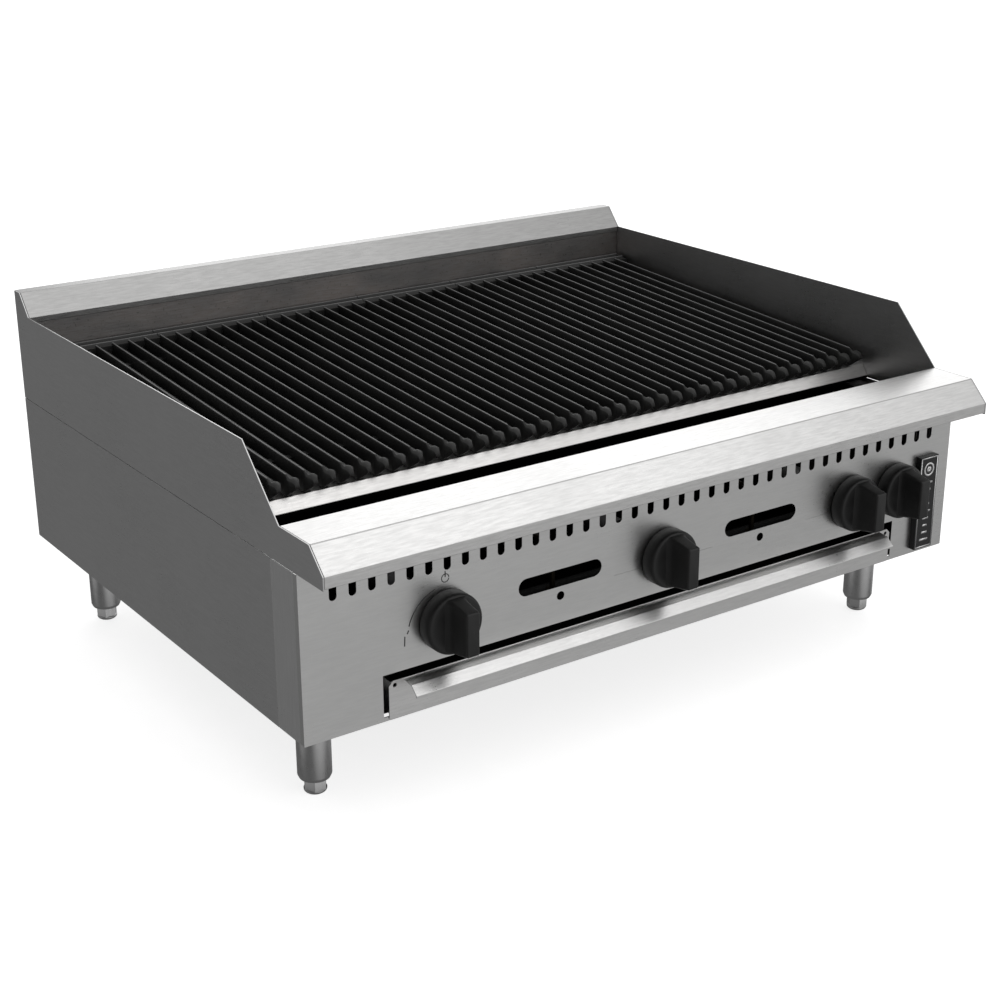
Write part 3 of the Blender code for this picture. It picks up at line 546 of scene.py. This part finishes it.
def make_grates():
    mesh = grate_mesh()
    mesh.set_sharp_from_angle(angle=math.radians(50.0))
    for i in range(GRATE_COUNT):
        x = (i - GRATE_COUNT / 2) * GRATE_PITCH
        matrix = Matrix.Translation(point(x, *RIDGE_FRONT)) @ Matrix.Rotation(GRATE_SLOPE, 4, "X")
        number = i + 1
        grate = add_piece("grate_casting_%d" % number, mesh, GRATE_IRON, "grate_%d_lifting" % number,
                          matrix)
        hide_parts("grate_%d" % number)


make_grates()


# ---------------------------------------------------------------- knobs
def grip_ring(out, half_width, half_height, corner, steps=6):
    """A rounded upright rectangle at a distance out from the panel."""
    ring = []
    for sx, sy, start in ((1, 1, 0), (-1, 1, 90), (-1, -1, 180), (1, -1, 270)):
        for k in range(steps + 1):
            turn = math.radians(start + 90.0 * k / steps)
            ring.append(Vector((sx * (half_width - corner) + corner * math.cos(turn),
                                sy * (half_height - corner) + corner * math.sin(turn),
                                out)) * MM)
    return ring


GRIP_SECTIONS = (
    # out from the panel, half width, half height, corner radius
    (17.0, 16.4, 29.8, 7.0), (19.0, 14.0, 29.5, 6.4), (20.2, 12.4, 29.2, 5.8), (22.4, 11.0, 28.7, 5.0),
    (25.6, 10.0, 28.0, 4.2), (30.0, 9.3, 27.2, 3.5), (36.0, 8.7, 26.1, 2.9), (42.5, 8.2, 24.9, 2.4),
    (46.8, 7.9, 24.1, 2.0), (48.4, 7.6, 23.7, 1.8), (49.2, 6.9, 23.0, 1.5), (49.5, 6.0, 22.0, 1.2))


def knob_mesh():
    """A round skirt with a rounded rim, a grip that flares into it and a pointer rib on top."""
    bm = bmesh.new()
    rim = KNOB_RADIUS
    turned(bm, [(5.0, 1.2), (rim - 0.6, 1.2), (rim, 1.8), (rim, 14.6), (rim - 0.25, 16.2),
                (rim - 0.9, 17.6), (rim - 2.0, 18.6), (rim - 3.6, 18.9), (rim - 8.0, 19.0),
                (5.0, 19.0)], 72)
    loft(bm, [grip_ring(*section) for section in GRIP_SECTIONS])
    block(bm, (-0.7, rim - 0.5, 8.5), (0.7, rim, 15.0))
    return mesh_from("knob_look", bm)


def make_knobs():
    mesh = knob_mesh()
    mesh.set_sharp_from_angle(angle=math.radians(48.0))
    for number, x in enumerate(KNOB_X, start=1):
        matrix = Matrix.Translation(point(x, PANEL_Y, KNOB_Z)) @ Matrix.Rotation(math.pi / 2, 4, "X")
        knob = add_piece("knob_moulding_%d" % number, mesh, KNOB_PLASTIC, "knob_%d_turning" % number,
                         matrix)
        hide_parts("knob_%d" % number)


make_knobs()


# ---------------------------------------------------------------- legs and feet
def make_legs():
    """Tube legs with a rounded lower end, each on a hexagon foot with a round pad and a rod."""
    places = {"front_left": (-LEG_X, LEG_FRONT_Y), "front_right": (LEG_X, LEG_FRONT_Y),
              "rear_left": (-LEG_X, LEG_REAR_Y), "rear_right": (LEG_X, LEG_REAR_Y)}
    leg = bmesh.new()
    bore = ROD_RADIUS + 0.8
    turned(leg, [(bore, LEG_END_Z + 58.0), (bore, LEG_END_Z), (LEG_RADIUS - 2.6, LEG_END_Z),
                 (LEG_RADIUS - 1.9, LEG_END_Z + 0.3), (LEG_RADIUS - 0.4, LEG_END_Z + 3.4),
                 (LEG_RADIUS, LEG_END_Z + 4.6), (LEG_RADIUS, LEG_TOP_Z - 1.0),
                 (LEG_RADIUS - 0.3, LEG_TOP_Z - 0.2), (LEG_RADIUS - 0.9, LEG_TOP_Z)], 48)
    leg_mesh = mesh_from("leg_look", leg)
    leg_mesh.set_sharp_from_angle(angle=math.radians(40.0))
    foot = bmesh.new()
    turned(foot, [(FOOT_RADIUS - 3.3, 0.0), (FOOT_RADIUS - 2.7, 0.25), (FOOT_RADIUS - 0.9, 1.6),
                  (FOOT_RADIUS - 0.2, 2.6), (FOOT_RADIUS, 3.6), (FOOT_RADIUS, 4.6)], 40)
    turned(foot, [(11.6, 3.4), (13.0, 4.1), (13.1, 15.6), (12.4, 16.9), (9.0, 17.1)], 6)
    turned(foot, [(ROD_RADIUS, 10.0), (ROD_RADIUS, 69.4), (ROD_RADIUS - 0.6, 70.0)], 24)
    foot_mesh = mesh_from("foot_look", foot)
    foot_mesh.set_sharp_from_angle(angle=math.radians(32.0))
    for name, (x, y) in places.items():
        matrix = Matrix.Translation(point(x, y, 0.0))
        tube = add_piece("leg_tube_" + name, leg_mesh, LEG_STEEL, "casing", matrix)
        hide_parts("leg_" + name)
        pad = add_piece("foot_pad_" + name, foot_mesh, LEG_STEEL, "foot_%s_adjusting" % name,
                        matrix)
        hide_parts("foot_" + name)


make_legs()


# ---------------------------------------------------------------- supply pipe
def make_supply_pipe():
    """The pipe from the manifold round a bend and out at the back, with a threaded end."""
    start_x, start_y = PIPE_START
    path = [Vector((start_x, start_y, PIPE_Z))]
    for k in range(9):
        turn = math.radians(-90.0 + 90.0 * k / 8)
        path.append(Vector((PIPE_X - PIPE_BEND + PIPE_BEND * math.cos(turn),
                            start_y + PIPE_BEND + PIPE_BEND * math.sin(turn), PIPE_Z)))
    path += [Vector((PIPE_X, PIPE_END_Y - back, PIPE_Z)) for back in (17.0, 16.6, 0.0)]
    radii = [PIPE_RADIUS] * (len(path) - 2) + [PIPE_RADIUS - 0.5, PIPE_RADIUS - 0.7]
    rings = []
    for i, place in enumerate(path):
        ahead = path[min(i + 1, len(path) - 1)] - path[max(i - 1, 0)]
        side = Vector((ahead.y, -ahead.x, 0.0)).normalized()
        rings.append([
            point(*(place + side * radii[i] * math.cos(math.tau * k / 32)
                    + Vector((0.0, 0.0, radii[i] * math.sin(math.tau * k / 32)))))
            for k in range(32)])
    bm = bmesh.new()
    loft(bm, rings)
    for turn in range(THREAD_TURNS):
        y = PIPE_END_Y - 15.0 + turn * THREAD_PITCH
        place = Matrix.Translation(point(PIPE_X, y, PIPE_Z)) @ Matrix.Rotation(-math.pi / 2, 4, "X")
        bmesh.ops.create_cone(bm, cap_ends=True, segments=32, radius1=(PIPE_RADIUS - 0.1) * MM,
                              radius2=(PIPE_RADIUS - 0.7) * MM, depth=1.2 * MM, matrix=place)
    mesh = mesh_from("supply_look", bm)
    mesh.set_sharp_from_angle(angle=math.radians(35.0))
    pipe = add_piece("supply_pipe_threaded", mesh, PIPE_STEEL, "casing")
    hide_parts("supply_pipe")


make_supply_pipe()


# ---------------------------------------------------------------- panel marks and badge
def flat_bar(bm, path, width, depth_front, depth_back):
    """A thin raised stroke on the panel along (x, height) places."""
    left, right = [], []
    for i, (x, z) in enumerate(path):
        ax, az = path[max(i - 1, 0)]
        bx, bz = path[min(i + 1, len(path) - 1)]
        length = math.hypot(bx - ax, bz - az)
        nx, nz = -(bz - az) / length, (bx - ax) / length
        half = (width[i] if isinstance(width, (list, tuple)) else width) / 2
        left.append((x + nx * half, z + nz * half))
        right.append((x - nx * half, z - nz * half))
    outline = left + right[::-1]
    front = [bm.verts.new(point(x, depth_front, z)) for x, z in outline]
    back = [bm.verts.new(point(x, depth_back, z)) for x, z in outline]
    count = len(path)
    total = len(outline)
    for i in range(count - 1):
        j = total - 1 - i
        bm.faces.new((front[i], front[i + 1], front[j - 1], front[j]))
        bm.faces.new((back[j], back[j - 1], back[i + 1], back[i]))
    for i in range(total):
        j = (i + 1) % total
        bm.faces.new((front[j], front[i], back[i], back[j]))


def arc_places(cx, cz, radius, start, end, steps):
    """Places along an arc between two angles in degrees."""
    return [(cx + radius * math.cos(math.radians(start + (end - start) * k / steps)),
             cz + radius * math.sin(math.radians(start + (end - start) * k / steps)))
            for k in range(steps + 1)]


def make_dial_marks():
    """A swelling arc with two dashes after it, and a generic ring-and-bar sign for off."""
    bm = bmesh.new()
    front, back = PANEL_Y - RAISED, PANEL_Y + 0.2
    x, z = KNOB_X[0] + 0.6, DIAL_Z
    places = arc_places(x, z, DIAL_RADIUS, 106.5, 164.8, 20)
    flat_bar(bm, places, [0.5 + 0.9 * k / 20 for k in range(21)], front, back)
    flat_bar(bm, [(x - 45.6, z + 8.0), (x - 47.4, z + 4.4)], 1.3, front, back)
    flat_bar(bm, [(x - 50.2, z + 2.4), (x - 50.8, z - 8.2)], 1.3, front, back)
    flat_bar(bm, arc_places(x - 1.0, z + 54.0, 4.4, 0.0, 350.0, 24), 1.0, front, back)
    flat_bar(bm, [(x - 1.0, z + 55.0), (x - 1.0, z + 61.5)], 1.2, front, back)
    add_piece("dial_marks", mesh_from("dial_marks", bm), MARK_INK, "casing")


def make_badge():
    """A silver border line on the plate, with plain rings and nine bars instead of a mark."""
    low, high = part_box("badge_plate")
    x0, x1 = low.x / MM, high.x / MM
    z0, z1 = low.z / MM, high.z / MM
    face = low.y / MM + ORIGIN_Y
    front, back = face - 0.35, face + 0.2
    bm = bmesh.new()
    inset, line = 1.9, 1.5
    left, right, bottom, top = x0 + inset, x1 - inset, z0 + inset, z1 - inset
    for x in (left, right):
        flat_bar(bm, [(x, bottom), (x, top)], line, front, back)
    for z in (bottom, top):
        flat_bar(bm, [(left - line / 2, z), (right + line / 2, z)], line, front + 0.02, back)
    middle = (x0 + x1) / 2
    ring_z = z1 - 17.0
    flat_bar(bm, arc_places(middle, ring_z, 7.6, 90.0, 449.0, 40), 2.4, front, back)
    flat_bar(bm, arc_places(middle, ring_z, 2.0, 90.0, 449.0, 24), 3.6, front, back)
    for k in range(9):
        z = z1 - 34.0 - k * 9.4
        half = 7.5 - 3.5 * abs(math.sin(k * math.pi / 4))
        flat_bar(bm, [(middle - half, z), (middle + half, z)], 2.6, front, back)
    add_piece("badge_trim", mesh_from("badge_trim", bm), BADGE_SILVER, "casing")


make_dial_marks()
make_badge()


# ---------------------------------------------------------------- floor, light and camera
CAMERA_PLACE = (-1.17433, -1.68689, 0.93493)
CAMERA_PITCH = 0.3606
CAMERA_HEADING = -0.6144
CAMERA_ROLL = -0.0029
CAMERA_LENS = 62.89
LIGHT_TARGET = Vector((0.0, 0.0, 0.25))


def area_light(name, direction, distance, width, height, power):
    """A soft box at a distance from the object's middle, facing it."""
    data = bpy.data.lights.new(name, "AREA")
    data.shape = "RECTANGLE"
    data.size = width
    data.size_y = height
    data.energy = power
    light = bpy.data.objects.new(name, data)
    bpy.context.scene.collection.objects.link(light)
    away = Vector(direction).normalized()
    light.location = LIGHT_TARGET + away * distance
    light.rotation_euler = away.to_track_quat("Z", "Y").to_euler()
    light.visible_camera = False


def make_floor():
    bm = bmesh.new()
    bmesh.ops.create_grid(bm, x_segments=2, y_segments=2, size=30.0)
    mesh = mesh_from("floor", bm)
    mesh.materials.append(FLOOR)
    floor = bpy.data.objects.new("floor", mesh)
    bpy.context.scene.collection.objects.link(floor)
    floor.visible_glossy = False


def make_world():
    """A pale studio: brightest overhead to the right, mid grey in front and dark at the back left."""
    world = bpy.data.worlds.new("studio")
    bpy.context.scene.world = world
    world.use_nodes = True
    tree = world.node_tree
    background = tree.nodes["Background"]
    background.inputs["Color"].default_value = (1.0, 1.0, 1.0, 1.0)
    coords = tree.nodes.new("ShaderNodeTexCoord").outputs["Generated"]

    def towards(direction):
        node = tree.nodes.new("ShaderNodeVectorMath")
        node.operation = "DOT_PRODUCT"
        node.inputs[1].default_value = direction
        tree.links.new(coords, node.inputs[0])
        return node.outputs["Value"]

    front = remap(tree, towards((0.20, -0.98, 0.0)), 0.53, 0.93, 0.17, 0.66)
    overhead = remap(tree, towards((0.56, 0.15, 0.82)), 0.02, 0.50, 0.0, 0.62)
    left = remap(tree, towards((-0.96, 0.27, 0.0)), 0.78, 0.93, 0.0, 0.30)
    strength = combine(tree, "ADD", combine(tree, "ADD", front, overhead), left)
    seen = tree.nodes.new("ShaderNodeLightPath").outputs["Is Camera Ray"]
    hidden = combine(tree, "SUBTRACT", 1.0, seen)
    total = combine(tree, "ADD", combine(tree, "MULTIPLY", strength, hidden), seen)
    tree.links.new(total, background.inputs["Strength"])


def make_camera():
    data = bpy.data.cameras.new("camera")
    data.sensor_width = 36.0
    data.lens = CAMERA_LENS
    data.clip_start = 0.05
    data.clip_end = 100.0
    camera = bpy.data.objects.new("camera", data)
    bpy.context.scene.collection.objects.link(camera)
    turn = Euler((math.pi / 2 - CAMERA_PITCH, 0.0, CAMERA_HEADING)).to_matrix().to_4x4()
    roll = Matrix.Rotation(CAMERA_ROLL, 4, "Z")
    camera.matrix_world = Matrix.Translation(CAMERA_PLACE) @ turn @ roll
    bpy.context.scene.camera = camera


make_floor()
make_world()
area_light("back_box", (0.60, 0.70, 0.40), 3.4, 3.4, 2.2, 22.0)
area_light("front_box", (0.28, -0.42, 0.84), 3.2, 2.6, 2.6, 15.0)
make_camera()
bpy.context.scene.view_settings.view_transform = "Standard"
